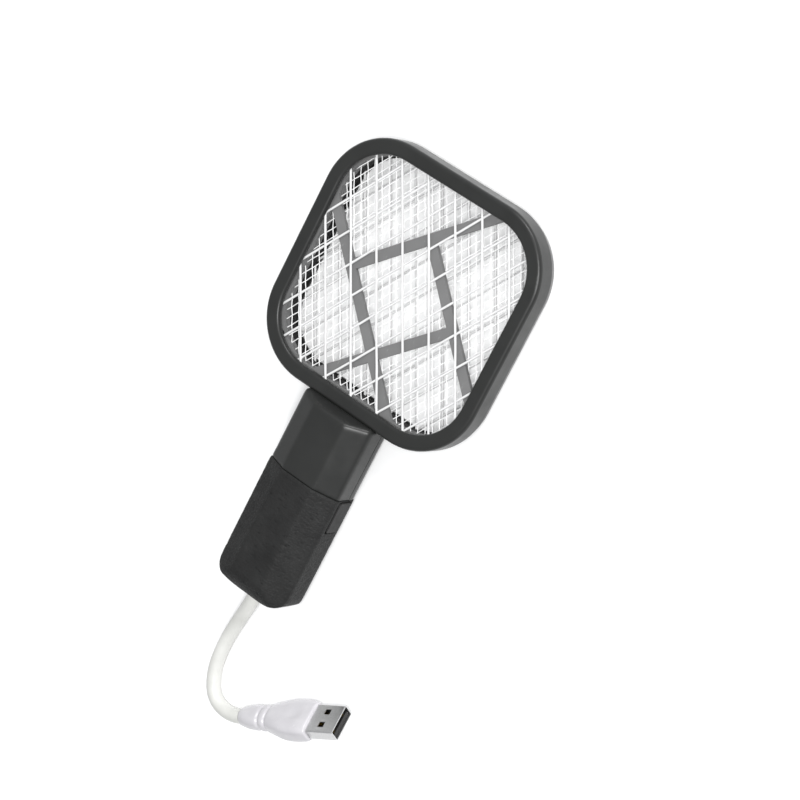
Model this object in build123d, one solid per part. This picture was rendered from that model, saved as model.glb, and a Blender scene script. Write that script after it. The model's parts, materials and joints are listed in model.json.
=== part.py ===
"""Electric fly swatter with a short supply cord, lying on its back with the mesh facing up.

Frame: millimetres, +Z up out of the mesh face, +Y from the handle towards the far end of the head,
origin under the middle of the swatter, on the surface that it lies on.
"""
from build123d import *
import math
import os

# ---------------------------------------------------------------- driving dimensions
HEAD_HALF_X = 45.0
HEAD_HALF_Y = 45.3
HEAD_CORNER = 24.2
HEAD_DEPTH = 15.0
RIM_WIDTH = 5.6
BEZEL_WALL = 1.8
BACK_WALL = 3.4
BEZEL_SPLIT_Z = 6.4
BACK_TAPER = 2.0
BACK_LIP_WIDTH = 6.0

HANDLE_HALF_WIDTH = 15.6
HANDLE_FLAT_HALF = 6.8
HANDLE_HEIGHT = 20.9
HANDLE_SHOULDER_Z = 16.0
HANDLE_BACK_ROUND = 6.6
HANDLE_END_BULGE = 5.0
HANDLE_SPLIT_Z = 8.0
HANDLE_LENGTH = 75.8
HANDLE_WALL = 1.7
UPPER_INSET = 0.35
SLEEVE_THICKNESS = 1.3
SLEEVE_LENGTH = 48.4

TOTAL_LENGTH = 2 * HEAD_HALF_Y + HANDLE_LENGTH
HEAD_Y = TOTAL_LENGTH / 2 - HEAD_HALF_Y
NECK_Y = HEAD_Y - HEAD_HALF_Y
END_Y = NECK_Y - HANDLE_LENGTH
SEAM_Y = END_Y + SLEEVE_LENGTH

WIRE_RADIUS = 0.42
WIRE_WELD = 0.12
WIRE_PITCH = 10.0
FIRST_WIRE_LEAN = 30.2
SECOND_WIRE_LEAN = -33.0
FINE_WIRE_RADIUS = 0.2
FINE_WIRE_PITCH = 2.75

# Heights of the mesh stack, from the back lip up to the front lip.
BACK_LIP_Z = 1.8
MESH_THICKNESS = 4 * WIRE_RADIUS - WIRE_WELD
BACK_MESH_TOP_Z = BACK_LIP_Z + MESH_THICKNESS
HV_SPACER_BASE_Z = 7.4
HV_MESH_BASE_Z = 9.2
HV_MESH_TOP_Z = HV_MESH_BASE_Z + 4 * FINE_WIRE_RADIUS
FRONT_LIP_Z = HEAD_DEPTH - 1.8
FRONT_MESH_BASE_Z = FRONT_LIP_Z - MESH_THICKNESS
STACK_CLEARANCE = 0.2

STRUT_WIDTH = 3.7
STRUT_SQUARE = 32.1
STRUT_CENTRE = (-0.4, -1.6)

BUTTON_LENGTH = 12.0
BUTTON_HEIGHT = 7.6
BUTTON_Y = SEAM_Y - 6.8
BUTTON_Z = 9.9
BUTTON_FLANGE = 0.4
BUTTON_TRAVEL = 1.2
BUTTON_GAP = 0.3

CORD_DIAMETER = 5.3
CORD_EXIT_Z = 8.0
CORD_INSERTION = 5.0

USB_SHELL_WIDTH = 12.0
USB_SHELL_HEIGHT = 4.5
USB_SHELL_LENGTH = 11.8
USB_SHELL_WALL = 0.3
PLUG_START = (15.0, END_Y - 42.5, 3.95)
PLUG_WIDTH = 15.6
PLUG_THICKNESS = 8.2
PLUG_LENGTH = 33.0
PLUG_PITCH = 8.0
PLUG_ROLL = -46.0
PLUG_HEADING = 32.4

SCREW_RADIUS = 0.9
SCREW_HEAD_RADIUS = 1.7
HEAD_SCREW_RADIUS = 0.5
HEAD_SCREW_HEAD_RADIUS = 1.1
HEAD_SCREW_REACH = 20.3
HEAD_BOSS_RADIUS = 1.15

os.makedirs("parts", exist_ok=True)


# ---------------------------------------------------------------- small helpers
def save(name, shape):
    """Write one node and print how many solids it holds."""
    export_step(shape, f"parts/{name}.step")
    print(f"{name}: {len(shape.solids())} solids, {sum(s.volume for s in shape.solids()):.1f} mm3")


def box(x, y, z):
    """A box from three (low, high) pairs."""
    size = (x[1] - x[0], y[1] - y[0], z[1] - z[0])
    centre = ((x[0] + x[1]) / 2, (y[0] + y[1]) / 2, (z[0] + z[1]) / 2)
    return Pos(*centre) * Box(*size)


def rod(start, end, radius):
    """A round bar between two points."""
    axis = Vector(*end) - Vector(*start)
    plane = Plane(origin=start, z_dir=axis)
    return extrude(plane * Circle(radius), axis.length)


def head_outline(inset):
    """The head's outline, a rounded square, pulled in by inset."""
    return RectangleRounded(2 * (HEAD_HALF_X - inset), 2 * (HEAD_HALF_Y - inset), HEAD_CORNER - inset)


def head_prism(inset, z_low, z_high):
    """A prism of the head's outline, pulled in by inset."""
    return extrude(Pos(0, HEAD_Y, z_low) * head_outline(inset), z_high - z_low)


def head_ring(outer_inset, inner_inset, z_low, z_high):
    """A flat ring that follows the head's outline."""
    return head_prism(outer_inset, z_low, z_high) - head_prism(inner_inset, z_low - 1, z_high + 1)


# ---------------------------------------------------------------- head
def screw_points():
    """The four screws of the head, one in each rounded corner."""
    step = HEAD_SCREW_REACH * math.sqrt(0.5)
    corner_x = HEAD_HALF_X - HEAD_CORNER + step
    corner_y = HEAD_HALF_Y - HEAD_CORNER + step
    return [(sx * corner_x, HEAD_Y + sy * corner_y) for sx in (-1, 1) for sy in (-1, 1)]


def at_screws(radius, z_low, z_high):
    """A cylinder at each screw of the head."""
    pins = Part()
    for x, y in screw_points():
        pins += Pos(x, y, (z_low + z_high) / 2) * Cylinder(radius, z_high - z_low)
    return pins


def ring_edges_at(shape, z):
    """The edges of a ring that lie in the plane at height z."""
    return shape.edges().filter_by_position(Axis.Z, z - 0.01, z + 0.01)


def inner_half(shape, z):
    """Of the ring's edges at height z, those around the opening."""
    edges = ring_edges_at(shape, z)
    return [e for e in edges if edge_reach(e) <= HEAD_HALF_X - RIM_WIDTH / 2]


def edge_reach(edge):
    """How far an edge's middle is from the head's centre, measured across the rounded square."""
    middle = edge.position_at(0.5)
    x = abs(middle.X)
    y = abs(middle.Y - HEAD_Y)
    straight_x = HEAD_HALF_X - HEAD_CORNER
    straight_y = HEAD_HALF_Y - HEAD_CORNER
    if x > straight_x and y > straight_y:
        return straight_x + math.hypot(x - straight_x, y - straight_y)
    return max(x, y)


def head_outer_form():
    """The solid outer forms of the head's two halves: an upright front and a tapered, rounded back."""
    front = head_prism(0, BEZEL_SPLIT_Z, HEAD_DEPTH)
    front = fillet(ring_edges_at(front, HEAD_DEPTH), 1.5)
    taper = math.degrees(math.atan(BACK_TAPER / BEZEL_SPLIT_Z))
    back = extrude(Pos(0, HEAD_Y, BEZEL_SPLIT_Z) * head_outline(0), -BEZEL_SPLIT_Z, taper=taper)
    back = fillet(ring_edges_at(back, 0), 3.2)
    return front, back


def lead_slot():
    """The way for the leads, from the head's channel into the handle."""
    return box((-7, 7), (NECK_Y - 3, NECK_Y + 2.6), (HV_SPACER_BASE_Z - 2, FRONT_MESH_BASE_Z))


def make_front_bezel(form):
    """Front half of the ring: outer wall and the lip over the front mesh."""
    ring = form - head_prism(RIM_WIDTH, BEZEL_SPLIT_Z - 1, HEAD_DEPTH + 1)
    ring = fillet(inner_half(ring, HEAD_DEPTH), 1.2)
    ring -= head_prism(BEZEL_WALL, BEZEL_SPLIT_Z - 1, FRONT_LIP_Z)
    ring -= lead_slot()
    ring += at_screws(HEAD_BOSS_RADIUS, BEZEL_SPLIT_Z + 1.0, FRONT_LIP_Z + 0.2)
    return ring - at_screws(HEAD_SCREW_RADIUS, BEZEL_SPLIT_Z, FRONT_LIP_Z - 1.0)


def make_back_bezel(form):
    """Back half of the ring, with its lip, its screw holes and the tongue into the handle."""
    ring = form - head_prism(BACK_LIP_WIDTH, -1, BEZEL_SPLIT_Z + 1)
    ring = fillet(inner_half(ring, 0), 1.2)
    ring -= head_prism(BACK_WALL, BACK_LIP_Z, BEZEL_SPLIT_Z + 1)
    ring -= lead_slot()
    ring -= at_screws(HEAD_SCREW_RADIUS + 0.1, -1, BEZEL_SPLIT_Z)
    ring -= at_screws(HEAD_SCREW_HEAD_RADIUS + 0.12, -1, 1.2)
    return ring + neck_tongue()


def neck_tongue():
    """The tongue that holds the head in the handle, with two screw holes."""
    tongue = box((-9.5, 9.5), (NECK_Y - 13, NECK_Y + 0.6), (2.6, 5.2))
    for x in (-6, 6):
        tongue -= Pos(x, NECK_Y - 8, 4) * Cylinder(SCREW_RADIUS + 0.15, 4)
    return tongue


def wire_layer(lean, pitch, offset, radius, z, inset):
    """Parallel wires that lean from the handle's axis, cut to the head's outline."""
    angle = math.radians(90 + lean)
    along = Vector(math.cos(angle), math.sin(angle))
    across = Vector(-math.sin(angle), math.cos(angle))
    reach = 1.5 * HEAD_HALF_Y
    blank = head_prism(inset, z - 1, z + 1)
    wires = []
    count = int(reach / pitch) + 1
    for index in range(-count, count + 1):
        middle = across * (index * pitch + offset) + Vector(0, HEAD_Y, z)
        wire = rod(tuple(middle - along * reach), tuple(middle + along * reach), radius)
        cut = wire & blank
        wires += [solid for solid in cut.solids() if solid.volume > 12 * radius ** 3]
    return wires


def make_coarse_mesh(base_z, inset):
    """An outer guard: two layers of thick crossed wires, welded where they cross."""
    z = base_z + WIRE_RADIUS
    lower = wire_layer(SECOND_WIRE_LEAN, WIRE_PITCH, -1.2, WIRE_RADIUS, z, inset)
    z += 2 * WIRE_RADIUS - WIRE_WELD
    upper = wire_layer(FIRST_WIRE_LEAN, WIRE_PITCH, -0.2, WIRE_RADIUS, z, inset)
    wires = clear_of_screws(lower + upper, base_z)
    return largest(wires[0].fuse(*wires[1:]))


def make_fine_mesh():
    """The live mesh: two layers of thin crossed wires."""
    z = HV_MESH_BASE_Z + FINE_WIRE_RADIUS
    lower = wire_layer(SECOND_WIRE_LEAN, FINE_WIRE_PITCH, 0.4, FINE_WIRE_RADIUS, z, 3.6)
    z += 2 * FINE_WIRE_RADIUS
    upper = wire_layer(FIRST_WIRE_LEAN, FINE_WIRE_PITCH, 1.1, FINE_WIRE_RADIUS, z, 3.6)
    return Compound(children=clear_of_screws(lower + upper, HV_MESH_BASE_Z))


def clear_of_screws(wires, z):
    """Shorten the wires that would run into a screw boss."""
    bosses = at_screws(HEAD_BOSS_RADIUS + 0.3, z - 1, z + 3)
    kept = []
    for wire in wires:
        if any(distance_to_line(wire, x, y) < 3 for x, y in screw_points()):
            kept += longest(wire - bosses)
        else:
            kept.append(wire)
    return kept


def distance_to_line(wire, x, y):
    """How near a wire comes to a vertical line at x, y."""
    middle = wire.center()
    return wire.distance_to(Vertex(x, y, middle.Z))


def longest(shape):
    """The largest solid of a cut wire, as a list."""
    solids = sorted(shape.solids(), key=lambda solid: solid.volume)
    return solids[-1:]


def strut(start, end, z_low, z_high):
    """A flat bar between two points, in plan."""
    along = Vector(*end) - Vector(*start)
    middle = (Vector(*start) + Vector(*end)) * 0.5
    bar = Box(along.length, STRUT_WIDTH, z_high - z_low)
    turned = Rot(0, 0, math.degrees(math.atan2(along.Y, along.X))) * bar
    return Pos(middle.X, HEAD_Y + middle.Y, (z_low + z_high) / 2) * turned


def make_support_frame():
    """Ring with four struts in a pinwheel, each running on past the next corner of the square.

    One strut also runs on the other way, to the near side of the ring.
    """
    z_low = HV_MESH_TOP_Z
    z_high = FRONT_MESH_BASE_Z
    reach = 70.0
    half = STRUT_SQUARE * math.sqrt(0.5)
    corners = [(-half, 0), (0, half), (half, 0), (0, -half)]
    corners = [(x + STRUT_CENTRE[0], y + STRUT_CENTRE[1]) for x, y in corners]
    left, near = corners[0], corners[3]
    away = (Vector(*near) - Vector(*left)).normalized() * reach
    struts = strut(near, (near[0] + away.X, near[1] + away.Y), z_low, z_high)
    for index, start in enumerate(corners):
        end = corners[(index + 1) % 4]
        beyond = Vector(*end) - Vector(*start)
        tip = Vector(*start) + beyond.normalized() * reach
        struts += strut(start, (tip.X, tip.Y), z_low, z_high)
    struts &= head_prism(RIM_WIDTH - 1, z_low - 1, z_high + 1)
    ring = head_ring(BEZEL_WALL + STACK_CLEARANCE, RIM_WIDTH + 0.15, z_low, z_high)
    return (ring + struts) - at_screws(HEAD_BOSS_RADIUS + 0.15, z_low - 1, z_high + 1) - lead_notch()


def lead_notch():
    """The gap in the spacer rings where the leads pass."""
    return box((-6, 6), (NECK_Y, NECK_Y + 4.2), (0, HEAD_DEPTH))


def make_spacer(z_low, z_high, wall, hole_radius):
    """A plain ring of the mesh stack, inside a bezel wall of the given thickness."""
    ring = head_ring(wall + STACK_CLEARANCE, RIM_WIDTH + 0.15, z_low, z_high)
    return ring - at_screws(hole_radius, z_low - 1, z_high + 1) - lead_notch()


def make_head_screws():
    """Four small screws that clamp the two halves of the ring."""
    screws = at_screws(HEAD_SCREW_RADIUS, 0.7, 11.0)
    heads = at_screws(HEAD_SCREW_HEAD_RADIUS, 0.45, 1.2)
    slots = Part()
    for x, y in screw_points():
        slots += Pos(x, y, 0.5) * cross_slot(1.6, 0.35, 0.7)
    return screws + heads - slots


def cross_slot(length, width, depth):
    """The cross recess of a screw head."""
    return Box(length, width, depth) + Box(width, length, depth)


# ---------------------------------------------------------------- handle
def handle_section(inset):
    """Cross-section in X and Z: a flat front, two bevels, upright sides and well rounded back corners."""
    half = HANDLE_HALF_WIDTH - inset
    flat = HANDLE_FLAT_HALF - 0.4 * inset
    top = HANDLE_HEIGHT - inset
    shoulder = HANDLE_SHOULDER_Z - 0.45 * inset
    low = inset
    right = [(half, low), (half, shoulder), (flat, top)]
    points = right + [(-x, z) for x, z in reversed(right)]
    face = make_face(Polyline(*points, close=True))
    lower_corners = face.vertices().sort_by(Axis.Y)[:2]
    face = fillet(lower_corners, HANDLE_BACK_ROUND - inset)
    shoulder_corners = [v for v in face.vertices() if abs(v.Y - shoulder) < 0.01]
    face = fillet(shoulder_corners, 2.0)
    ridge_corners = [v for v in face.vertices() if abs(v.Y - top) < 0.01 and abs(abs(v.X) - flat) < 0.01]
    return fillet(ridge_corners, 3.0)


def handle_side_profile(inset, y_high):
    """Side view in Y and Z: a sloping shoulder at the head and a rounded end."""
    top = HANDLE_HEIGHT - inset + 0.5
    low = inset - 0.5
    end = END_Y + inset
    tip = (end, 9.5)
    shoulder = [(y_high, 13.8 - inset), (y_high - 2.9, top)]
    straight = [(end + 3.4, low), (y_high, low), *shoulder, (end + 10.2, top)]
    edges = [
        Polyline(*straight),
        ThreePointArc(straight[-1], (end + 2.2, 17.0 - inset), tip),
        ThreePointArc(tip, (end + 0.9, 3.4 + 0.5 * inset), straight[0]),
    ]
    return make_face(edges)


def handle_plan(inset, y_high):
    """Plan view in X and Y: straight sides and a bulged end with round corners."""
    half = HANDLE_HALF_WIDTH - inset
    end = END_Y + inset
    bulge = HANDLE_END_BULGE
    left = (-half, end + bulge)
    right = (half, end + bulge)
    edges = [
        Line((-half, y_high), left),
        ThreePointArc(left, (0, end), right),
        Line(right, (half, y_high)),
        Line((half, y_high), (-half, y_high)),
    ]
    face = make_face(edges)
    corners = face.vertices().sort_by(Axis.Y)[:2]
    return fillet(corners, 6.0 - inset)


def handle_form(inset, y_high):
    """The solid form of the handle, up to y_high, pulled in by inset."""
    length = y_high - END_Y + 4
    section_plane = Plane(origin=(0, y_high, 0), x_dir=(1, 0, 0), z_dir=(0, -1, 0))
    form = extrude(section_plane * handle_section(inset), length)
    side_plane = Plane(origin=(-30, 0, 0), x_dir=(0, 1, 0), z_dir=(1, 0, 0))
    form &= extrude(side_plane * handle_side_profile(inset, y_high), 60)
    form &= extrude(Pos(0, 0, -5) * handle_plan(inset, y_high), 40)
    return form


def soften(form, y_low, y_high, half_width, radius):
    """Round the upper edges of the handle that run across it between two stations."""
    edges = []
    for edge in form.edges():
        middle = edge.position_at(0.5)
        if y_low < middle.Y < y_high and middle.Z > HANDLE_SHOULDER_Z - 1 and abs(middle.X) < half_width:
            edges.append(edge)
    return fillet(edges, radius)


def button_window(gap):
    """The opening for the push button in the right side wall."""
    return box(
        (HANDLE_HALF_WIDTH - 5, HANDLE_HALF_WIDTH + 3),
        (BUTTON_Y - BUTTON_LENGTH / 2 - gap, BUTTON_Y + BUTTON_LENGTH / 2 + gap),
        (BUTTON_Z - BUTTON_HEIGHT / 2 - gap, BUTTON_Z + BUTTON_HEIGHT / 2 + gap),
    )


def cord_bore(radius):
    """The way out of the handle's end for the cord."""
    return rod((0, END_Y + 14, CORD_EXIT_Z), (0, END_Y - 4, CORD_EXIT_Z), radius)


def make_handle_shells(head_front, head_back):
    """Front and back shells: smooth at the neck, stepped down under the sleeve."""
    top_y = NECK_Y + 1.0
    smooth = soften(handle_form(UPPER_INSET, top_y), top_y - 4, top_y - 0.6, HANDLE_HALF_WIDTH, 1.5)
    smooth &= box((-40, 40), (SEAM_Y, 40), (-5, 40))
    core = handle_form(SLEEVE_THICKNESS + 0.05, top_y)
    core &= box((-40, 40), (-200, SEAM_Y + 0.5), (-5, 40))
    hollow = handle_form(SLEEVE_THICKNESS + HANDLE_WALL, NECK_Y - 2.0)
    shell = smooth + core - hollow
    shell -= head_front
    shell -= head_back
    shell -= lead_slot()
    shell -= button_window(BUTTON_GAP)
    shell -= cord_bore(4.2)
    shell -= box((-9.8, 9.8), (NECK_Y - 13.3, NECK_Y + 2), (2.3, 5.5))
    upper = shell & box((-40, 40), (-200, 100), (HANDLE_SPLIT_Z, 40))
    lower = shell & box((-40, 40), (-200, 100), (-5, HANDLE_SPLIT_Z - 0.05))
    return add_front_bosses(upper), add_back_bosses(lower)


def handle_screw_points():
    """Two screws through the head's tongue, and one near the cord's end."""
    return [(-6, NECK_Y - 8), (6, NECK_Y - 8), (-9.0, END_Y + 17)]


def add_front_bosses(shell):
    """Screw bosses that reach down from the front shell."""
    for x, y in handle_screw_points():
        boss = Pos(x, y, 13.4) * Cylinder(2.2, 11.4)
        shell += boss & handle_form(SLEEVE_THICKNESS + 0.3, NECK_Y - 1)
        shell -= Pos(x, y, 11) * Cylinder(SCREW_RADIUS - 0.02, 10)
    return largest(shell)


def add_back_bosses(shell):
    """Screw seats in the back shell, with a sunk hole for each head."""
    for x, y in handle_screw_points():
        seat_top = 2.25 if y > END_Y + 30 else 7.6
        seat = Pos(x, y, seat_top / 2 + 0.8) * Cylinder(2.8, seat_top - 1.6)
        shell += seat & handle_form(SLEEVE_THICKNESS + 0.3, NECK_Y - 1)
        shell -= Pos(x, y, 5) * Cylinder(SCREW_RADIUS + 0.15, 12)
        shell -= Pos(x, y, 0.4) * Cylinder(SCREW_HEAD_RADIUS + 0.2, 2.4)
    return largest(shell)


def largest(shape):
    """The largest solid, without any sliver left by a cut."""
    return Part() + sorted(shape.solids(), key=lambda solid: solid.volume)[-1]


def make_handle_screws():
    """Screws that close the handle."""
    screws = Part()
    for x, y in handle_screw_points():
        shank = Pos(x, y, 7.1) * Cylinder(SCREW_RADIUS - 0.02, 11.4)
        head = Pos(x, y, 1.15) * Cylinder(SCREW_HEAD_RADIUS, 0.9)
        screws += shank + head - Pos(x, y, 0.7) * cross_slot(2.4, 0.5, 0.9)
    return screws


def make_grip_sleeve():
    """Textured sleeve over the lower handle, closed at the end apart from the cord's hole."""
    window = box((-40, 40), (-200, SEAM_Y - 0.02), (-5, 40))
    outer = soften(handle_form(0, SEAM_Y + 20), END_Y + 4.2, END_Y + 9.9, 11, 2.0) & window
    inner = handle_form(SLEEVE_THICKNESS, SEAM_Y + 20)
    sleeve = outer - inner
    sleeve -= button_window(BUTTON_GAP)
    sleeve -= cord_bore(4.0)
    sleeve -= Pos(-9.0, END_Y + 17, 0) * Cylinder(SCREW_HEAD_RADIUS + 0.5, 6)
    return largest(sleeve)


def make_push_button():
    """Cap that sits flush in the side wall, with a flange that keeps it in."""
    half_length = BUTTON_LENGTH / 2
    half_height = BUTTON_HEIGHT / 2
    outer_x = HANDLE_HALF_WIDTH + 0.35
    cap = box(
        (HANDLE_HALF_WIDTH - 4.4, outer_x),
        (BUTTON_Y - half_length, BUTTON_Y + half_length),
        (BUTTON_Z - half_height, BUTTON_Z + half_height),
    )
    cap = fillet(cap.edges().filter_by(Axis.X), 1.2)
    cap = fillet(cap.faces().sort_by(Axis.X)[-1].edges(), 0.4)
    inner_wall = HANDLE_HALF_WIDTH - SLEEVE_THICKNESS - HANDLE_WALL
    flange = box(
        (inner_wall - 1.5, inner_wall - 0.5),
        (BUTTON_Y - half_length - 1.4, BUTTON_Y + half_length + 1.4),
        (BUTTON_Z - half_height - BUTTON_FLANGE, BUTTON_Z + half_height + BUTTON_FLANGE),
    )
    return cap + flange


# ---------------------------------------------------------------- electronics
BOARD_Z = (5.9, 7.1)
BOARD_Y = (END_Y + 14.4, NECK_Y - 15.5)
SWITCH_X = 6.2
CLIP_PITCH = 4.5
CLIP_HEIGHTS = (BACK_MESH_TOP_Z + 3.2, HV_MESH_BASE_Z - 1.6, HV_MESH_TOP_Z + 0.2)


def make_board():
    """Circuit board, notched for the button's flange and for the screw near the cord's end."""
    board = box((-10, 10), BOARD_Y, BOARD_Z)
    board -= box((8.4, 11), (BUTTON_Y - 8.2, BUTTON_Y + 8.2), (0, 20))
    board -= Pos(-9.0, END_Y + 17, 6) * Cylinder(3.0, 6)
    return largest(board)


def make_switch_body():
    """Side-entry push switch with a bore for its plunger."""
    z = BOARD_Z[1]
    body = box((SWITCH_X - 3.6, SWITCH_X), (BUTTON_Y - 2.9, BUTTON_Y + 2.9), (z, z + 5.4))
    return body - rod((SWITCH_X - 2.6, BUTTON_Y, BUTTON_Z), (SWITCH_X + 1, BUTTON_Y, BUTTON_Z), 1.3)


def make_switch_plunger():
    """Plunger of the switch; it touches the button's flange and moves with it."""
    inner_wall = HANDLE_HALF_WIDTH - SLEEVE_THICKNESS - HANDLE_WALL
    return rod((SWITCH_X - 1.2, BUTTON_Y, BUTTON_Z), (inner_wall - 1.5, BUTTON_Y, BUTTON_Z), 1.24)


def make_transformer():
    """Ferrite core, as two E halves around a winding."""
    y = NECK_Y - 26
    z = BOARD_Z[1]
    core = box((-8, 5), (y - 5.2, y + 5.2), (z, z + 8.4))
    windows = box((-9, 6), (y - 3.8, y - 1.6), (z + 1.4, z + 7.0))
    windows += box((-9, 6), (y + 1.6, y + 3.8), (z + 1.4, z + 7.0))
    core -= windows
    winding = windows & box((-7, 4), (y - 3.7, y + 3.7), (z + 1.5, z + 6.9))
    winding = fillet(winding.edges().filter_by(Axis.X), 0.4)
    return core, winding


def make_capacitor():
    """High-voltage film capacitor."""
    y = NECK_Y - 40.5
    body = box((-8, 3.5), (y - 3, y + 3), (BOARD_Z[1], BOARD_Z[1] + 9.0))
    return fillet(body.edges(), 0.8)


def make_diodes():
    """Three rectifier diodes in a row."""
    diodes = Part()
    for index in range(3):
        y = NECK_Y - 47.0 - 3.4 * index
        diodes += rod((-6.5, y, BOARD_Z[1] + 1.4), (-1.5, y, BOARD_Z[1] + 1.4), 1.3)
        for x in (-8.2, 0.2):
            reach = (min(x, -4), max(x, -4))
            diodes += box(reach, (y - 0.3, y + 0.3), (BOARD_Z[1] + 1.1, BOARD_Z[1] + 1.7))
            diodes += box((x - 0.3, x + 0.3), (y - 0.3, y + 0.3), (BOARD_Z[1], BOARD_Z[1] + 1.7))
    return diodes


def make_transistor():
    """Oscillator transistor standing on three legs."""
    y = NECK_Y - 18.0
    z = BOARD_Z[1]
    body = Pos(7.0, y, z + 4.4) * Cylinder(2.3, 4.6)
    body -= box((4, 5.4), (y - 4, y + 4), (z, z + 9))
    for step in (-1.2, 0, 1.2):
        body += box((6.8, 7.2), (y + step - 0.2, y + step + 0.2), (z, z + 2.2))
    return body


def make_resistors():
    """Two small resistors lying along the board."""
    resistors = Part()
    for x in (-7.5, -4.0):
        y = NECK_Y - 18.2
        resistors += rod((x, y - 1.6, BOARD_Z[1] + 1.1), (x, y + 1.6, BOARD_Z[1] + 1.1), 0.9)
        for end in (y - 2.3, y + 2.3):
            leg = box((x - 0.2, x + 0.2), (min(end, y), max(end, y)), (BOARD_Z[1] + 0.9, BOARD_Z[1] + 1.3))
            resistors += leg
            resistors += box((x - 0.2, x + 0.2), (end - 0.2, end + 0.2), (BOARD_Z[1], BOARD_Z[1] + 1.3))
    return resistors


def make_terminals():
    """Three clips at the neck, one on each mesh."""
    clips = []
    for index, z in enumerate(CLIP_HEIGHTS):
        x = (index - 1) * CLIP_PITCH
        clips.append(box((x - 1.1, x + 1.1), (NECK_Y + 0.8, NECK_Y + 3.8), (z, z + 0.5)))
    return Compound(children=clips)


def lead_wire(side, radius=0.45):
    """An insulated lead from the board, between the screws of the neck, to the clip on that side."""
    z_clip = CLIP_HEIGHTS[side + 1] + 0.25
    points = [
        (1.4 * side, NECK_Y - 17.5, BOARD_Z[1] + radius + 0.02),
        (1.4 * side, NECK_Y - 13.5, BOARD_Z[1] + radius + 1.0),
        (2.2 * side, NECK_Y - 5.2, z_clip + 0.3),
        (CLIP_PITCH * side, NECK_Y - 1.4, z_clip),
        (CLIP_PITCH * side, NECK_Y + 0.8, z_clip - 0.05),
    ]
    path = FilletPolyline(*points, radius=1.2)
    start = Plane(origin=path @ 0, z_dir=path % 0)
    return sweep(start * Circle(radius), path)


def make_supply_wires():
    """The cord's two cores, from the clamp to the board."""
    wires = []
    for x in (-1.2, 1.2):
        start = (x, END_Y + 10.6, CORD_EXIT_Z)
        end = (x, END_Y + 16, BOARD_Z[1] + 0.5)
        wires.append(rod(start, end, 0.5))
    return Compound(children=wires)


# ---------------------------------------------------------------- cord and plug
def make_grommet():
    """Rubber bush in the handle's end, with a low lip around the cord."""
    bush = rod((0, END_Y + 5.8, CORD_EXIT_Z), (0, END_Y + 0.05, CORD_EXIT_Z), 3.9)
    flange = rod((0, END_Y + 5.8, CORD_EXIT_Z), (0, END_Y + 4.8, CORD_EXIT_Z), 4.7)
    return bush + flange - cord_bore(CORD_DIAMETER / 2 + 0.04)


def make_cord_clamp():
    """Saddle that holds the cord's end inside the handle."""
    saddle = box((-4.6, 4.6), (END_Y + 7.6, END_Y + 10.4), (4.6, 11.6))
    return saddle - cord_bore(CORD_DIAMETER / 2 + 0.04)


def cord_route():
    """The cord's route: out of the handle, down to the surface, and round to the plug."""
    start = Vector(*PLUG_START)
    behind = start - plug_axis() * 5.4
    return [
        (0.0, END_Y + 8.5, CORD_EXIT_Z),
        (0.0, END_Y - 2.5, CORD_EXIT_Z),
        (-2.7, END_Y - 12.6, 4.9),
        (-4.6, END_Y - 24.1, 3.0),
        (-3.7, END_Y - 35.4, 2.75),
        (1.3, END_Y - 44.2, 2.7),
        (behind.X, behind.Y, behind.Z),
        PLUG_START,
    ]


def plug_axis():
    """The direction in which the plug points."""
    heading = math.radians(PLUG_HEADING)
    pitch = math.radians(PLUG_PITCH)
    level = math.cos(pitch)
    return Vector(level * math.cos(heading), level * math.sin(heading), math.sin(pitch))


def plug_frame():
    """The plug's own frame: X out of its mouth, Z out of its wide face."""
    turned = Location(PLUG_START, (0, 0, PLUG_HEADING))
    return turned * Rot(0, -PLUG_PITCH, 0) * Rot(PLUG_ROLL, 0, 0)


def turn_angle(before, corner, after):
    """How far a route turns at a corner, in degrees."""
    return (Vector(*corner) - Vector(*before)).get_angle(Vector(*after) - Vector(*corner))


def make_cord():
    """The cord as straight runs joined by the largest tangent arcs that fit."""
    points = cord_route()
    radii = []
    for before, corner, after in zip(points, points[1:], points[2:]):
        turn = turn_angle(before, corner, after)
        run_in = (Vector(*corner) - Vector(*before)).length
        run_out = (Vector(*after) - Vector(*corner)).length
        shorter = min(run_in, run_out)
        radii.append(0.45 * shorter / math.tan(math.radians(turn / 2)))
        print(f"cord turn {turn:.1f} degrees, radius {radii[-1]:.1f} mm, run {shorter:.1f} mm")
    path = FilletPolyline(*points, radius=radii)
    start = Plane(origin=path @ 0, z_dir=path % 0)
    tube = sweep(start * Circle(CORD_DIAMETER / 2), path)
    expected = math.pi * (CORD_DIAMETER / 2) ** 2 * path.length
    print(f"cord length {path.length:.1f} mm, tube {tube.volume:.1f} mm3 against {expected:.1f} mm3")
    return tube


def rounded_plate(width, height, corner, x):
    """A rounded rectangle that faces along X."""
    plane = Plane(origin=(x, 0, 0), x_dir=(0, 1, 0), z_dir=(1, 0, 0))
    return plane * RectangleRounded(width, height, corner)


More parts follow.
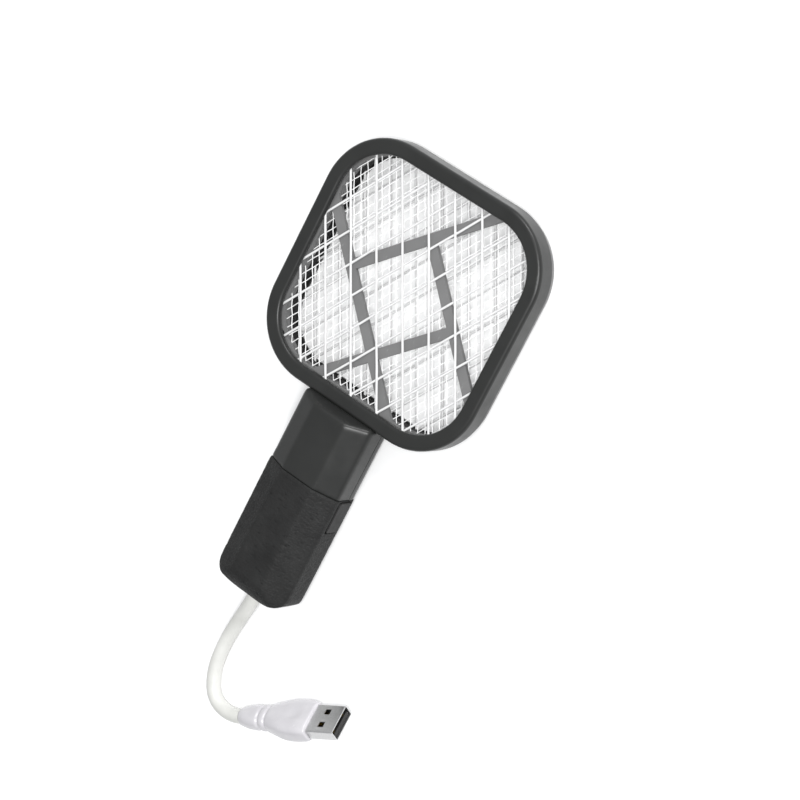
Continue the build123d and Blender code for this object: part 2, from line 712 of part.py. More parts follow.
def make_plug_body():
    """White moulding: a tapered boot, two ring grooves and the rounded body."""
    stations = [
        (0.0, CORD_DIAMETER + 0.5, CORD_DIAMETER + 0.5),
        (8.5, 9.2, 7.6),
        (15.0, 11.2, 7.9),
        (22.5, PLUG_WIDTH, PLUG_THICKNESS),
        (PLUG_LENGTH, PLUG_WIDTH - 1.4, PLUG_THICKNESS - 0.7),
    ]
    sections = [rounded_plate(w, h, min(w, h) * 0.44, x) for x, w, h in stations]
    body = loft(sections)
    for x in (10.4, 13.6):
        groove = rounded_plate(30, 30, 2, x)
        width, height = 9.0, 6.8
        ring = extrude(groove, 0.9) - extrude(rounded_plate(width, height, 2.9, x), 0.9)
        body -= ring
    socket = extrude(rounded_plate(USB_SHELL_WIDTH, USB_SHELL_HEIGHT, 0.5, PLUG_LENGTH - 8), 9)
    return plug_frame() * (body - socket)


def make_plug_shell():
    """Steel shell of a standard plug, with two latch holes on each wide face."""
    start = PLUG_LENGTH - 7.9
    total = USB_SHELL_LENGTH + 7.9
    outer = extrude(rounded_plate(USB_SHELL_WIDTH, USB_SHELL_HEIGHT, 0.5, start), total)
    inner_width = USB_SHELL_WIDTH - 2 * USB_SHELL_WALL
    inner_height = USB_SHELL_HEIGHT - 2 * USB_SHELL_WALL
    outer -= extrude(rounded_plate(inner_width, inner_height, 0.3, start + 0.5), total)
    for y in (-2.75, 2.75):
        outer -= Pos(PLUG_LENGTH + 5.6, y, 0) * Box(2.4, 2.2, 10)
    return plug_frame() * outer


def make_plug_tongue():
    """Plastic tongue inside the shell."""
    inner_height = USB_SHELL_HEIGHT / 2 - USB_SHELL_WALL
    start = PLUG_LENGTH - 7.3
    back = box((start, PLUG_LENGTH + 1.2), (-5.5, 5.5), (-inner_height + 0.08, inner_height - 0.08))
    tip = PLUG_LENGTH + USB_SHELL_LENGTH - 0.8
    tongue = box((PLUG_LENGTH + 1.2, tip), (-5.5, 5.5), (-inner_height + 0.08, -0.2))
    return plug_frame() * (back + tongue)


def make_plug_contacts():
    """Four contact strips on the tongue."""
    strips = []
    for y, width in ((-3.5, 1.2), (-1.0, 1.2), (1.0, 1.2), (3.5, 1.2)):
        reach = USB_SHELL_LENGTH - 1.6 if abs(y) > 2 else USB_SHELL_LENGTH - 2.6
        across = (y - width / 2, y + width / 2)
        strips.append(box((PLUG_LENGTH + 1.3, PLUG_LENGTH + reach), across, (-0.19, 0.05)))
    return plug_frame() * Compound(children=strips)


# ---------------------------------------------------------------- build
def main():
    """Build every node and write it."""
    front_form, back_form = head_outer_form()
    save("head_front_bezel", make_front_bezel(front_form))
    save("head_back_bezel", make_back_bezel(back_form))
    save("front_mesh", make_coarse_mesh(FRONT_MESH_BASE_Z, 3.0))
    save("mesh_support_frame", make_support_frame())
    save("hv_mesh", make_fine_mesh())
    hv_spacer = make_spacer(HV_SPACER_BASE_Z, HV_MESH_BASE_Z, BEZEL_WALL, HEAD_BOSS_RADIUS + 0.15)
    back_spacer = make_spacer(BACK_MESH_TOP_Z, HV_SPACER_BASE_Z, BACK_WALL, HEAD_SCREW_RADIUS + 0.2)
    save("hv_spacer_ring", hv_spacer)
    save("back_spacer_ring", back_spacer)
    save("back_mesh", make_coarse_mesh(BACK_LIP_Z, BACK_WALL + STACK_CLEARANCE))
    save("head_screws", make_head_screws())

    front_shell, back_shell = make_handle_shells(front_form, back_form)
    save("handle_front_shell", front_shell)
    save("handle_back_shell", back_shell)
    save("grip_sleeve", make_grip_sleeve())
    save("handle_screws", make_handle_screws())
    save("push_button", make_push_button())
    save("switch_body", make_switch_body())
    save("switch_plunger", make_switch_plunger())

    save("circuit_board", make_board())
    core, winding = make_transformer()
    save("hv_transformer_core", core)
    save("hv_transformer_winding", winding)
    save("hv_capacitor", make_capacitor())
    save("rectifier_diodes", make_diodes())
    save("oscillator_transistor", make_transistor())
    save("resistors", make_resistors())
    save("mesh_terminals", make_terminals())
    save("hv_lead_wire", lead_wire(0))
    save("guard_lead_wires", Compound(children=[lead_wire(-1), lead_wire(1)]))
    save("supply_wires", make_supply_wires())

    save("cord_grommet", make_grommet())
    save("cord_clamp", make_cord_clamp())
    save("usb_cord", make_cord())
    save("usb_plug_body", make_plug_body())
    save("usb_plug_shell", make_plug_shell())
    save("usb_plug_tongue", make_plug_tongue())
    save("usb_plug_contacts", make_plug_contacts())


main()
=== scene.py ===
"""Looks of the electric fly swatter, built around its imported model."""
import json
import math
import random

import bmesh
import bpy
from mathutils import Matrix, Quaternion, Vector
from mathutils import noise as pattern


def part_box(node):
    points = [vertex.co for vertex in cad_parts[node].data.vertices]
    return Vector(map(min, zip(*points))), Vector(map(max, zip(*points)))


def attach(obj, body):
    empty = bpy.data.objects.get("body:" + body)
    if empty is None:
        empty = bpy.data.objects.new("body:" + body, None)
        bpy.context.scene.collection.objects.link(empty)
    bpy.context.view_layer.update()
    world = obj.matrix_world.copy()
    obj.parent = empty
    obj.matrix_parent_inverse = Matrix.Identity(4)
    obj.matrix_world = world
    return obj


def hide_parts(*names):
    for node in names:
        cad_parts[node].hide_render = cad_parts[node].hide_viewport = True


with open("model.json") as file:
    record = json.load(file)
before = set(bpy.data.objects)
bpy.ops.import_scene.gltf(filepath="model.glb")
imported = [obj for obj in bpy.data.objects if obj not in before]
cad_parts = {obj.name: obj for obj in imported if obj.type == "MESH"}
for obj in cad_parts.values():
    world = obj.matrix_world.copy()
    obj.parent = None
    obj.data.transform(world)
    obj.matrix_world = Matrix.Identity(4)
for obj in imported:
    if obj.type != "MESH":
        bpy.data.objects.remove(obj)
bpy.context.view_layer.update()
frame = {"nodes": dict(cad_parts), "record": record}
MM = 0.001
MM_IN_METRE = 1000

# ---------------------------------------------------------------- places read from the frame
head_low, head_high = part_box("head_front_bezel")
HEAD_CENTRE = (head_low + head_high) / 2
HEAD_HALF_X = (head_high.x - head_low.x) / 2
HEAD_HALF_Y = (head_high.y - head_low.y) / 2
HEAD_CORNER = 24.2 * MM
HEAD_TOP_Z = head_high.z
# The origin lies halfway along head and handle.
HANDLE_END_Y = -head_high.y


# ---------------------------------------------------------------- camera
CAMERA_AZIMUTH = math.radians(123.1)
CAMERA_ELEVATION = math.radians(61.45)
CAMERA_ROLL = math.radians(-92.54)
CAMERA_DISTANCE = 0.8413
CAMERA_LENS = 112.5
SENSOR_WIDTH = 36.0
NEAREST_SEEN = 0.05
FARTHEST_SEEN = 10.0
# Between the head and the plug, on the level of the head's face.
AIM = Vector((0.0183, HEAD_CENTRE.y - 0.0305, HEAD_TOP_Z))


def make_camera():
    """A long lens that looks down on the swatter, turned so that the handle points down to the left."""
    level = math.cos(CAMERA_ELEVATION)
    back = Vector((
        math.sin(CAMERA_AZIMUTH) * level,
        -math.cos(CAMERA_AZIMUTH) * level,
        math.sin(CAMERA_ELEVATION),
    ))
    data = bpy.data.cameras.new("camera")
    data.lens = CAMERA_LENS
    data.sensor_width = SENSOR_WIDTH
    data.clip_start = NEAREST_SEEN
    data.clip_end = FARTHEST_SEEN
    camera = bpy.data.objects.new("camera", data)
    bpy.context.scene.collection.objects.link(camera)
    camera.location = AIM + back * CAMERA_DISTANCE
    camera.rotation_mode = "QUATERNION"
    camera.rotation_quaternion = (-back).to_track_quat("-Z", "Y") @ Quaternion((0, 0, 1), CAMERA_ROLL)
    bpy.context.scene.camera = camera


# ---------------------------------------------------------------- light and floor
SURROUND_COLOUR = (0.97, 0.985, 1.0, 1)
SURROUND_STRENGTH = 0.58
FLOOR_SIZE = 6.0
FLOOR_Z = -0.0002
# Each lamp: name, place, what it faces, size in metres and power in watts.
LAMPS = [
    ("key", (0.10, 0.95, 0.62), (0, 0, 0), 0.35, 6.5),
    ("front", AIM + Vector((0.46, 0.20, 1.0)), AIM, 0.30, 11.5),
]


def make_light(name, place, target, size, energy):
    """A soft square lamp that faces a point."""
    data = bpy.data.lights.new(name, "AREA")
    data.shape = "SQUARE"
    data.size = size
    data.energy = energy
    lamp = bpy.data.objects.new(name, data)
    bpy.context.scene.collection.objects.link(lamp)
    lamp.location = place
    lamp.rotation_mode = "QUATERNION"
    lamp.rotation_quaternion = (Vector(target) - Vector(place)).to_track_quat("-Z", "Y")


def make_stage():
    """A pale floor, an even pale surround and soft lamps."""
    bpy.ops.mesh.primitive_plane_add(size=FLOOR_SIZE, location=(0, 0, FLOOR_Z))
    floor = bpy.context.object
    floor.name = "floor"
    floor.data.materials.append(floor_material())
    world = bpy.data.worlds.new("surround")
    world.use_nodes = True
    background = world.node_tree.nodes["Background"]
    background.inputs["Color"].default_value = SURROUND_COLOUR
    background.inputs["Strength"].default_value = SURROUND_STRENGTH
    bpy.context.scene.world = world
    for lamp in LAMPS:
        make_light(*lamp)
    bpy.context.scene.view_settings.view_transform = "Standard"


# ---------------------------------------------------------------- material building blocks
def new_material(name):
    """An empty node material: returns it, its node tree and its shader."""
    material = bpy.data.materials.new(name)
    material.use_nodes = True
    tree = material.node_tree
    return material, tree, tree.nodes["Principled BSDF"]


def node(tree, kind, **values):
    """One node, with its input sockets set by name."""
    made = tree.nodes.new(kind)
    for key, value in values.items():
        made.inputs[key.replace("_", " ")].default_value = value
    return made


def object_coordinates(tree, stretch=(1, 1, 1)):
    """The place on the object, in metres, stretched along each axis."""
    place = tree.nodes.new("ShaderNodeTexCoord").outputs["Object"]
    mapping = node(tree, "ShaderNodeMapping", Scale=stretch)
    tree.links.new(place, mapping.inputs["Vector"])
    return mapping.outputs["Vector"]


def noise(tree, scale, detail=4.0, roughness=0.55, stretch=(1, 1, 1)):
    """A cloudy noise value with features of about 1 / scale metres."""
    made = node(tree, "ShaderNodeTexNoise", Scale=scale, Detail=detail, Roughness=roughness)
    tree.links.new(object_coordinates(tree, stretch), made.inputs["Vector"])
    return made.outputs["Fac"]


def cells(tree, scale):
    """Distance from the nearest point of an irregular cell pattern."""
    made = node(tree, "ShaderNodeTexVoronoi", Scale=scale)
    tree.links.new(object_coordinates(tree), made.inputs["Vector"])
    return made.outputs["Distance"]


def ramp(tree, source, stops):
    """Colours along a value, from (position, colour) stops."""
    made = tree.nodes.new("ShaderNodeValToRGB")
    elements = made.color_ramp.elements
    elements[0].position, elements[0].color = stops[0][0], (*stops[0][1], 1)
    elements[1].position, elements[1].color = stops[-1][0], (*stops[-1][1], 1)
    for position, colour in stops[1:-1]:
        added = elements.new(position)
        added.color = (*colour, 1)
    tree.links.new(source, made.inputs["Fac"])
    return made.outputs["Color"]


def blend_colours(tree, factor, first, second):
    """Two colours mixed by a value."""
    made = tree.nodes.new("ShaderNodeMix")
    made.data_type = "RGBA"
    tree.links.new(factor, made.inputs["Factor"])
    for socket, colour in ((made.inputs["A"], first), (made.inputs["B"], second)):
        if isinstance(colour, tuple):
            socket.default_value = (*colour, 1)
        else:
            tree.links.new(colour, socket)
    return made.outputs["Result"]


def grey(value):
    """A neutral colour."""
    return (value, value, value)


def bump(tree, height, distance, normal=None):
    """Bump from a height value; distance is in metres."""
    made = node(tree, "ShaderNodeBump", Strength=1.0, Distance=distance)
    tree.links.new(height, made.inputs["Height"])
    if normal is not None:
        tree.links.new(normal, made.inputs["Normal"])
    return made.outputs["Normal"]


WAVINESS_SCALE = 45
WAVINESS_HEIGHT = 0.00006
SCUFF_SCALE = 900
SCUFF_ROUGHENING = 0.15


def surface(name, dark, light, rough, tint_scale, grain_scale, grain_height, wear=None, **sockets):
    """A moulded or coated surface: faint colour clouds, uneven gloss, a fine grain and light scuffs."""
    material, tree, shader = new_material(name)
    colour = ramp(tree, noise(tree, tint_scale), [(0.3, dark), (0.7, light)])
    gloss = ramp(tree, noise(tree, tint_scale * 2.3, 6.0), [(0.3, grey(rough[0])), (0.7, grey(rough[1]))])
    if wear is not None:
        streaks = noise(tree, SCUFF_SCALE, 8.0, 0.7, (1.0, 0.25, 1.0))
        scuff = ramp(tree, streaks, [(0.62, grey(0)), (0.72, grey(1))])
        colour = blend_colours(tree, scuff, colour, wear)
        gloss = blend_colours(tree, scuff, gloss, grey(min(1.0, rough[1] + SCUFF_ROUGHENING)))
    tree.links.new(colour, shader.inputs["Base Color"])
    tree.links.new(gloss, shader.inputs["Roughness"])
    fine = bump(tree, noise(tree, grain_scale, 3.0), grain_height)
    uneven = bump(tree, noise(tree, WAVINESS_SCALE, 2.0), WAVINESS_HEIGHT, fine)
    tree.links.new(uneven, shader.inputs["Normal"])
    for key, value in sockets.items():
        shader.inputs[key.replace("_", " ")].default_value = value
    return material


GRIP_DARK = (0.0095, 0.0096, 0.0095)
GRIP_LIGHT = (0.0165, 0.0167, 0.0165)
# Painted shade: the colour that darkens the grip's creases.
PAINTED_CREASE_SHADE = (0.004, 0.004, 0.004)
GRIP_PEBBLE_HEIGHT = 0.00008
GRIP_CREASE_HEIGHT = 0.00022


def grip_material():
    """Matte leathery plastic: pebbles, blotches and short creases across the handle, with painted shade
    darkening the creases.
    """
    material, tree, shader = new_material("grip_texture")
    blotch = ramp(tree, noise(tree, 130, 5.0, 0.6), [(0.3, GRIP_DARK), (0.7, GRIP_LIGHT)])
    crease = noise(tree, 420, 5.0, 0.6, (1.0, 2.6, 1.0))
    # Painted shade: the crease pattern darkens the colour where shade would fall in the creases.
    dark = ramp(tree, crease, [(0.30, grey(1)), (0.40, grey(0))])
    colour = blend_colours(tree, dark, blotch, PAINTED_CREASE_SHADE)
    tree.links.new(colour, shader.inputs["Base Color"])
    pebbles = cells(tree, 1500)
    tree.links.new(ramp(tree, pebbles, [(0.1, grey(0.5)), (0.6, grey(0.72))]), shader.inputs["Roughness"])
    low = bump(tree, pebbles, -GRIP_PEBBLE_HEIGHT)
    mid = bump(tree, crease, GRIP_CREASE_HEIGHT, low)
    tree.links.new(mid, shader.inputs["Normal"])
    shader.inputs["Specular IOR Level"].default_value = 0.25
    return material


def steel_material():
    """Plated steel with fine rolling lines and a slightly uneven gloss."""
    material, tree, shader = new_material("plug_steel")
    lines = noise(tree, 3000, 3.0, 0.6, (1.0, 0.2, 1.0))
    tree.links.new(ramp(tree, lines, [(0.3, grey(0.56)), (0.7, grey(0.66))]), shader.inputs["Base Color"])
    gloss = ramp(tree, noise(tree, 700, 5.0), [(0.3, grey(0.28)), (0.7, grey(0.38))])
    tree.links.new(gloss, shader.inputs["Roughness"])
    tree.links.new(bump(tree, lines, 0.000006), shader.inputs["Normal"])
    shader.inputs["Metallic"].default_value = 1.0
    return material


def floor_material():
    """Plain pale floor."""
    return surface(
        "pale_floor", grey(0.90), grey(0.91), (0.7, 0.8), 3.0, 900.0, 0.000005, Specular_IOR_Level=0.2)


# Each slot: darkest and lightest colour, roughness range, cloud scale, grain scale and grain height.
PLAIN_SLOTS = {
    "housing_plastic": ((0.016, 0.0165, 0.016), (0.020, 0.0206, 0.020), (0.3, 0.4), 70, 5200, 0.00001),
    "button_plastic": (grey(0.010), grey(0.014), (0.5, 0.6), 200, 4000, 0.00002),
    "white_wire": (grey(0.60), grey(0.68), (0.35, 0.5), 400, 6000, 0.000008),
    "fine_wire": (grey(0.84), grey(0.90), (0.35, 0.5), 500, 6000, 0.000005),
    "grey_plastic": (grey(0.125), grey(0.145), (0.5, 0.6), 90, 4000, 0.00001),
    "inner_black_plastic": (grey(0.004), grey(0.007), (0.6, 0.7), 90, 4000, 0.00002),
    "switch_plastic": (grey(0.012), grey(0.018), (0.4, 0.5), 300, 4000, 0.00002),
    "switch_plunger_plastic": ((0.55, 0.52, 0.45), (0.62, 0.59, 0.52), (0.4, 0.5), 300, 4000, 0.00002),
    "circuit_board_laminate": ((0.015, 0.10, 0.03), (0.03, 0.17, 0.05), (0.3, 0.4), 500, 3000, 0.00002),
    "ferrite": (grey(0.035), grey(0.055), (0.45, 0.6), 500, 3000, 0.00003),
    "capacitor_case": ((0.30, 0.03, 0.02), (0.38, 0.05, 0.03), (0.15, 0.25), 300, 3000, 0.00002),
    "diode_body": (grey(0.012), grey(0.02), (0.3, 0.4), 500, 4000, 0.00001),
    "transistor_case": (grey(0.015), grey(0.025), (0.4, 0.5), 500, 4000, 0.00002),
    "resistor_body": ((0.48, 0.36, 0.20), (0.58, 0.44, 0.26), (0.25, 0.35), 600, 4000, 0.00001),
    "red_lead": ((0.38, 0.015, 0.015), (0.48, 0.03, 0.03), (0.35, 0.45), 500, 4000, 0.00001),
    "black_lead": (grey(0.012), grey(0.02), (0.35, 0.45), 500, 4000, 0.00001),
    "grommet_rubber": (grey(0.012), grey(0.02), (0.55, 0.7), 500, 3000, 0.00002),
    "cord_jacket": ((0.53, 0.53, 0.505), (0.61, 0.61, 0.585), (0.38, 0.5), 130, 4000, 0.00001),
    "plug_moulding": ((0.47, 0.46, 0.48), (0.53, 0.52, 0.54), (0.18, 0.28), 150, 5000, 0.000006),
    "plug_tongue_plastic": (grey(0.006), grey(0.010), (0.4, 0.5), 300, 4000, 0.00001),
}
METAL_SLOTS = {
    "screw_steel": (grey(0.05), grey(0.09), (0.3, 0.45), 900, 6000, 0.00001),
    "copper_winding": ((0.50, 0.20, 0.06), (0.60, 0.27, 0.09), (0.25, 0.35), 900, 3000, 0.00004),
    "terminal_brass": ((0.62, 0.45, 0.18), (0.74, 0.55, 0.25), (0.25, 0.35), 700, 5000, 0.00001),
    "contact_gilt": ((0.70, 0.50, 0.18), (0.80, 0.60, 0.24), (0.18, 0.28), 700, 5000, 0.000005),
}
# The colour of a slot's scuffs, and the specular level of the slots that reflect little.
SCUFFS = {"housing_plastic": (0.022, 0.023, 0.022), "grey_plastic": (0.24, 0.24, 0.24)}
LOW_GLOSS = {"housing_plastic": 0.30, "button_plastic": 0.25, "inner_black_plastic": 0.25}


def make_finish(slot):
    """The material for one slot of the record."""
    if slot == "grip_texture":
        return grip_material()
    if slot == "plug_steel":
        return steel_material()
    if slot in METAL_SLOTS:
        return surface(slot, *METAL_SLOTS[slot], Metallic=1.0)
    finish = surface(slot, *PLAIN_SLOTS[slot], wear=SCUFFS.get(slot))
    shader = finish.node_tree.nodes["Principled BSDF"]
    if slot in LOW_GLOSS:
        shader.inputs["Specular IOR Level"].default_value = LOW_GLOSS[slot]
    return finish


def dress_cad():
    """Give every CAD node the finish of its material slot."""
    made = {}
    for entry in frame["record"]["subparts"]:
        slot = entry["material_slot"]
        if slot not in made:
            made[slot] = make_finish(slot)
        mesh = frame["nodes"][entry["node"]].data
        mesh.materials.clear()
        mesh.materials.append(made[slot])
    return made


# ---------------------------------------------------------------- pieces
def add_piece(piece, node_name, material):
    """Put a piece in the scene in place of a CAD node of the housing."""
    piece.data.materials.append(material)
    bpy.context.scene.collection.objects.link(piece)
    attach(piece, "housing")
    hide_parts(node_name)


def smooth(mesh):
    """Shade a mesh smoothly."""
    mesh.polygons.foreach_set("use_smooth", [True] * len(mesh.polygons))
    mesh.update()


def applied(piece):
    """A mesh with the piece's modifiers applied, in a new mesh."""
    bpy.context.scene.collection.objects.link(piece)
    graph = bpy.context.evaluated_depsgraph_get()
    mesh = bpy.data.meshes.new_from_object(piece.evaluated_get(graph))
    bpy.context.scene.collection.objects.unlink(piece)
    return mesh


# ---------------------------------------------------------------- head meshes
FIRST_LEAN = math.radians(30.2)
SECOND_LEAN = math.radians(-33.0)
GUARD_PITCH = 10.0 * MM
GUARD_RADIUS = 0.42 * MM
LIVE_PITCH = 2.75 * MM
LIVE_RADIUS = 0.17 * MM
LIVE_INSET = 3.6 * MM
LIVE_OFFSETS = (0.4 * MM, 1.1 * MM)
LIVE_OVERSHOOT = 1.3
GUARD_OFFSETS = (-1.2 * MM, -0.2 * MM)
GUARD_BEND_SPACING = 9 * MM
GUARD_SWAY = 0.13
GUARD_LIFT = 0.03
WELD_INSET = 4.5 * MM
WELD_SMALLEST = 0.5
WELD_LARGEST = 0.66
WELD_FLATTENING = 0.75
SPAN_STEP = 0.2 * MM
FEWEST_STEPS = 12
REACH = 1.5 * HEAD_HALF_Y


def inside_head(place, inset):
    """Whether a place in plan is inside the head's outline, pulled in by inset."""
    corner = HEAD_CORNER - inset
    x = abs(place.x) - (HEAD_HALF_X - inset - corner)
    y = abs(place.y - HEAD_CENTRE.y) - (HEAD_HALF_Y - inset - corner)
    return math.hypot(max(x, 0.0), max(y, 0.0)) < corner


def wire_line(lean, pitch, offset, index):
    """The middle and direction of one wire of a family of parallel wires."""
    angle = math.radians(90) + lean
    along = Vector((math.cos(angle), math.sin(angle)))
    across = Vector((-math.sin(angle), math.cos(angle)))
    return Vector((0, HEAD_CENTRE.y)) + across * (index * pitch + offset), along


def wire_span(middle, along, inset):
    """Where a wire enters and leaves the head's outline, measured along it from its middle."""
    count = int(REACH / SPAN_STEP)
    hits = []
    for k in range(-count, count + 1):
        if inside_head(middle + along * k * SPAN_STEP, inset):
            hits.append(k * SPAN_STEP)
    return (hits[0], hits[-1]) if len(hits) > FEWEST_STEPS else None


def family(lean, pitch, offset, inset):
    """All wires of a family, as (index, middle, along, start, end)."""
    wires = []
    count = int(REACH / pitch) + 1
    for index in range(-count, count + 1):
        middle, along = wire_line(lean, pitch, offset, index)
        span = wire_span(middle, along, inset)
        if span is not None:
            wires.append((index, middle, along, *span))
    return wires


def crossing(first, second):
    """How far along the first wire it meets the second."""
    gap = second[1] - first[1]
    return (gap.x * second[2].y - gap.y * second[2].x) / (
        first[2].x * second[2].y - first[2].y * second[2].x)


def add_spline(curve, places):
    """One smooth wire through a list of places."""
    spline = curve.splines.new("NURBS")
    spline.points.add(len(places) - 1)
    for point, place in zip(spline.points, places):
        point.co = (*place, 1.0)
    spline.order_u = 3
    spline.use_endpoint_u = True


def wire_curve(name, radius, roundness):
    """An empty curve with a round section."""
    curve = bpy.data.curves.new(name, "CURVE")
    curve.dimensions = "3D"
    curve.bevel_depth = radius
    curve.bevel_resolution = roundness
    curve.resolution_u = 4
    curve.use_fill_caps = True
    return curve


def make_guard(name, node_name, inset, seed, material):
    """A coarse guard: thick white wires, not quite straight, with a weld spot at each crossing."""
    low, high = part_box(node_name)
    draw = random.Random(seed)
    lower = family(SECOND_LEAN, GUARD_PITCH, GUARD_OFFSETS[0], inset)
    upper = family(FIRST_LEAN, GUARD_PITCH, GUARD_OFFSETS[1], inset)
    curve = wire_curve(name, GUARD_RADIUS, 3)
    for wires, z in ((lower, low.z + GUARD_RADIUS), (upper, high.z - GUARD_RADIUS)):
        for _, middle, along, start, end in wires:
            across = Vector((-along.y, along.x))
            steps = max(3, round((end - start) / GUARD_BEND_SPACING))
            places = []
            for k in range(steps + 1):
                reach = start + (end - start) * k / steps
                flat = middle + along * reach + across * draw.uniform(-GUARD_SWAY, GUARD_SWAY) * MM
                places.append((flat.x, flat.y, z + draw.uniform(-GUARD_LIFT, GUARD_LIFT) * MM))
            add_spline(curve, places)
    add_piece(bpy.data.objects.new(name, curve), node_name, material)
    add_welds(name + "_welds", node_name, lower, upper, (low.z + high.z) / 2, draw, material)


def add_welds(name, node_name, lower, upper, z, draw, material):
    """Small uneven weld spots where the wires of a guard cross."""
    mesh = bpy.data.meshes.new(name)
    shape = bmesh.new()
    flatten = Matrix.Diagonal((1.0, 1.0, WELD_FLATTENING, 1.0))
    for first in lower:
        for second in upper:
            reach = crossing(first, second)
            place = first[1] + first[2] * reach
            if first[3] < reach < first[4] and inside_head(place, WELD_INSET):
                size = draw.uniform(WELD_SMALLEST, WELD_LARGEST) * MM
                spot = Matrix.Translation((place.x, place.y, z)) @ flatten
                bmesh.ops.create_icosphere(shape, subdivisions=2, radius=size, matrix=spot)
    shape.to_mesh(mesh)
    shape.free()
    smooth(mesh)
    add_piece(bpy.data.objects.new(name, mesh), node_name, material)


def make_live_mesh(material):
    """The fine mesh, woven: each wire passes over and under the wires that it meets."""
    low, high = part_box("hv_mesh")
    middle_z = (low.z + high.z) / 2
    sway = (high.z - low.z) / 2 - LIVE_RADIUS - 0.01 * MM
    lower = family(SECOND_LEAN, LIVE_PITCH, LIVE_OFFSETS[0], LIVE_INSET)
    upper = family(FIRST_LEAN, LIVE_PITCH, LIVE_OFFSETS[1], LIVE_INSET)
    curve = wire_curve("woven_live_mesh", LIVE_RADIUS, 1)
    curve.resolution_u = 3
    for wires, others, sign in ((lower, upper, 1), (upper, lower, -1)):
        for wire in wires:
            meets = sorted((crossing(wire, other), other[0]) for other in others)
            places = []
            for reach, index in meets:
                if wire[3] < reach < wire[4]:
                    flat = wire[1] + wire[2] * reach
                    side = sign if (index + wire[0]) % 2 else -sign
                    places.append((flat.x, flat.y, middle_z + side * sway * LIVE_OVERSHOOT))
            if len(places) > 2:
                ends = [wire[1] + wire[2] * reach for reach in (wire[3], wire[4])]
                first = (ends[0].x, ends[0].y, middle_z)
                last = (ends[1].x, ends[1].y, middle_z)
                add_spline(curve, [first, *places, last])
    add_piece(bpy.data.objects.new("woven_live_mesh", curve), "hv_mesh", material)


# ---------------------------------------------------------------- grip
SKIN_VOXEL = 0.4 * MM
LIGHT_ROUNDS = 5
STRONG_ROUNDS = 24
PEBBLE_HEIGHT = 0.035
DENT_DEPTH = 0.14
DENT_THRESHOLD = 0.15


def add_softening(blank, rounds):
    """A smoothing modifier that rounds a form's edges."""
    soften = blank.modifiers.new("soften", "SMOOTH")
    soften.factor = 0.5
    soften.iterations = rounds
    return soften


def softened(node_name, rounds):
    """A copy of a CAD node's form in an even fine mesh, with its edges softened."""
    blank = bpy.data.objects.new("soft_blank", frame["nodes"][node_name].data.copy())
    remesh = blank.modifiers.new("remesh", "REMESH")
    remesh.mode = "VOXEL"
    remesh.voxel_size = SKIN_VOXEL
    add_softening(blank, rounds)
    mesh = applied(blank)
    mesh.materials.clear()
    return mesh


def softened_where(mesh, rounds, chosen):
    """The mesh with more softening at the places that chosen picks."""
    blank = bpy.data.objects.new("soft_blank", mesh)
    group = blank.vertex_groups.new(name="chosen")
    group.add([vertex.index for vertex in mesh.vertices if chosen(vertex.co)], 1.0, "REPLACE")
    add_softening(blank, rounds).vertex_group = group.name
    return applied(blank)


def make_shoulder(material):
    """The smooth front shell, with the soft ridges and shoulder of a worn moulding."""
    seam_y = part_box("grip_sleeve")[1].y
    split_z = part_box("handle_front_shell")[0].z
    mesh = softened("handle_front_shell", LIGHT_ROUNDS)
    mesh = softened_where(
        mesh, STRONG_ROUNDS, lambda place: place.y > seam_y + 3 * MM and place.z > split_z + 5 * MM)
    mesh.name = "smooth_shell"
    smooth(mesh)
    add_piece(bpy.data.objects.new("smooth_shell", mesh), "handle_front_shell", material)


def make_grip(material):
    """The textured sleeve: the CAD form with softened edges and a dented, leathery skin."""
    mesh = softened("grip_sleeve", LIGHT_ROUNDS)
    mesh = softened_where(mesh, STRONG_ROUNDS, lambda place: place.y < HANDLE_END_Y + 9 * MM)
    mesh.name = "leathery_grip"
    normals = [vertex.normal.copy() for vertex in mesh.vertices]
    for vertex, normal in zip(mesh.vertices, normals):
        place = vertex.co * MM_IN_METRE
        pebble = pattern.noise(place * 1.1) * PEBBLE_HEIGHT
        dent = pattern.fractal(Vector((place.x * 0.22, place.y * 0.7, place.z * 0.22)), 0.6, 2.1, 4)
        vertex.co += normal * (pebble + min(0.0, dent + DENT_THRESHOLD) * DENT_DEPTH) * MM
    smooth(mesh)
    add_piece(bpy.data.objects.new("leathery_grip", mesh), "grip_sleeve", material)


# ---------------------------------------------------------------- cord
CORD_DIAMETER = 5.3 * MM
CORD_EXIT_Z = 8.0 * MM
PLUG_HEADING = math.radians(32.4)
PLUG_PITCH = math.radians(8.0)
PLUG_ROLL = math.radians(-46.0)
PLUG_START = Vector((15.0 * MM, HANDLE_END_Y - 42.5 * MM, 3.95 * MM))


def plug_matrix():
    """The plug's own frame: X out of its mouth, Z out of its wide face."""
    heading = Matrix.Rotation(PLUG_HEADING, 4, "Z")
    pitch = Matrix.Rotation(-PLUG_PITCH, 4, "Y")
    return Matrix.Translation(PLUG_START) @ heading @ pitch @ Matrix.Rotation(PLUG_ROLL, 4, "X")


def cord_route():
    """The cord's route, out of the handle, down to the floor and round to the plug."""
    end_y = HANDLE_END_Y
    plug_axis = plug_matrix().to_3x3() @ Vector((1, 0, 0))
    return [
        Vector((0.0, end_y + 8.5 * MM, CORD_EXIT_Z)),
        Vector((0.0, end_y - 2.5 * MM, CORD_EXIT_Z)),
        Vector((-2.7 * MM, end_y - 12.6 * MM, 4.9 * MM)),
        Vector((-4.6 * MM, end_y - 24.1 * MM, 3.0 * MM)),
        Vector((-3.7 * MM, end_y - 35.4 * MM, 2.75 * MM)),
        Vector((1.3 * MM, end_y - 44.2 * MM, 2.7 * MM)),
        PLUG_START - plug_axis * 5.4 * MM,
        PLUG_START,
    ]


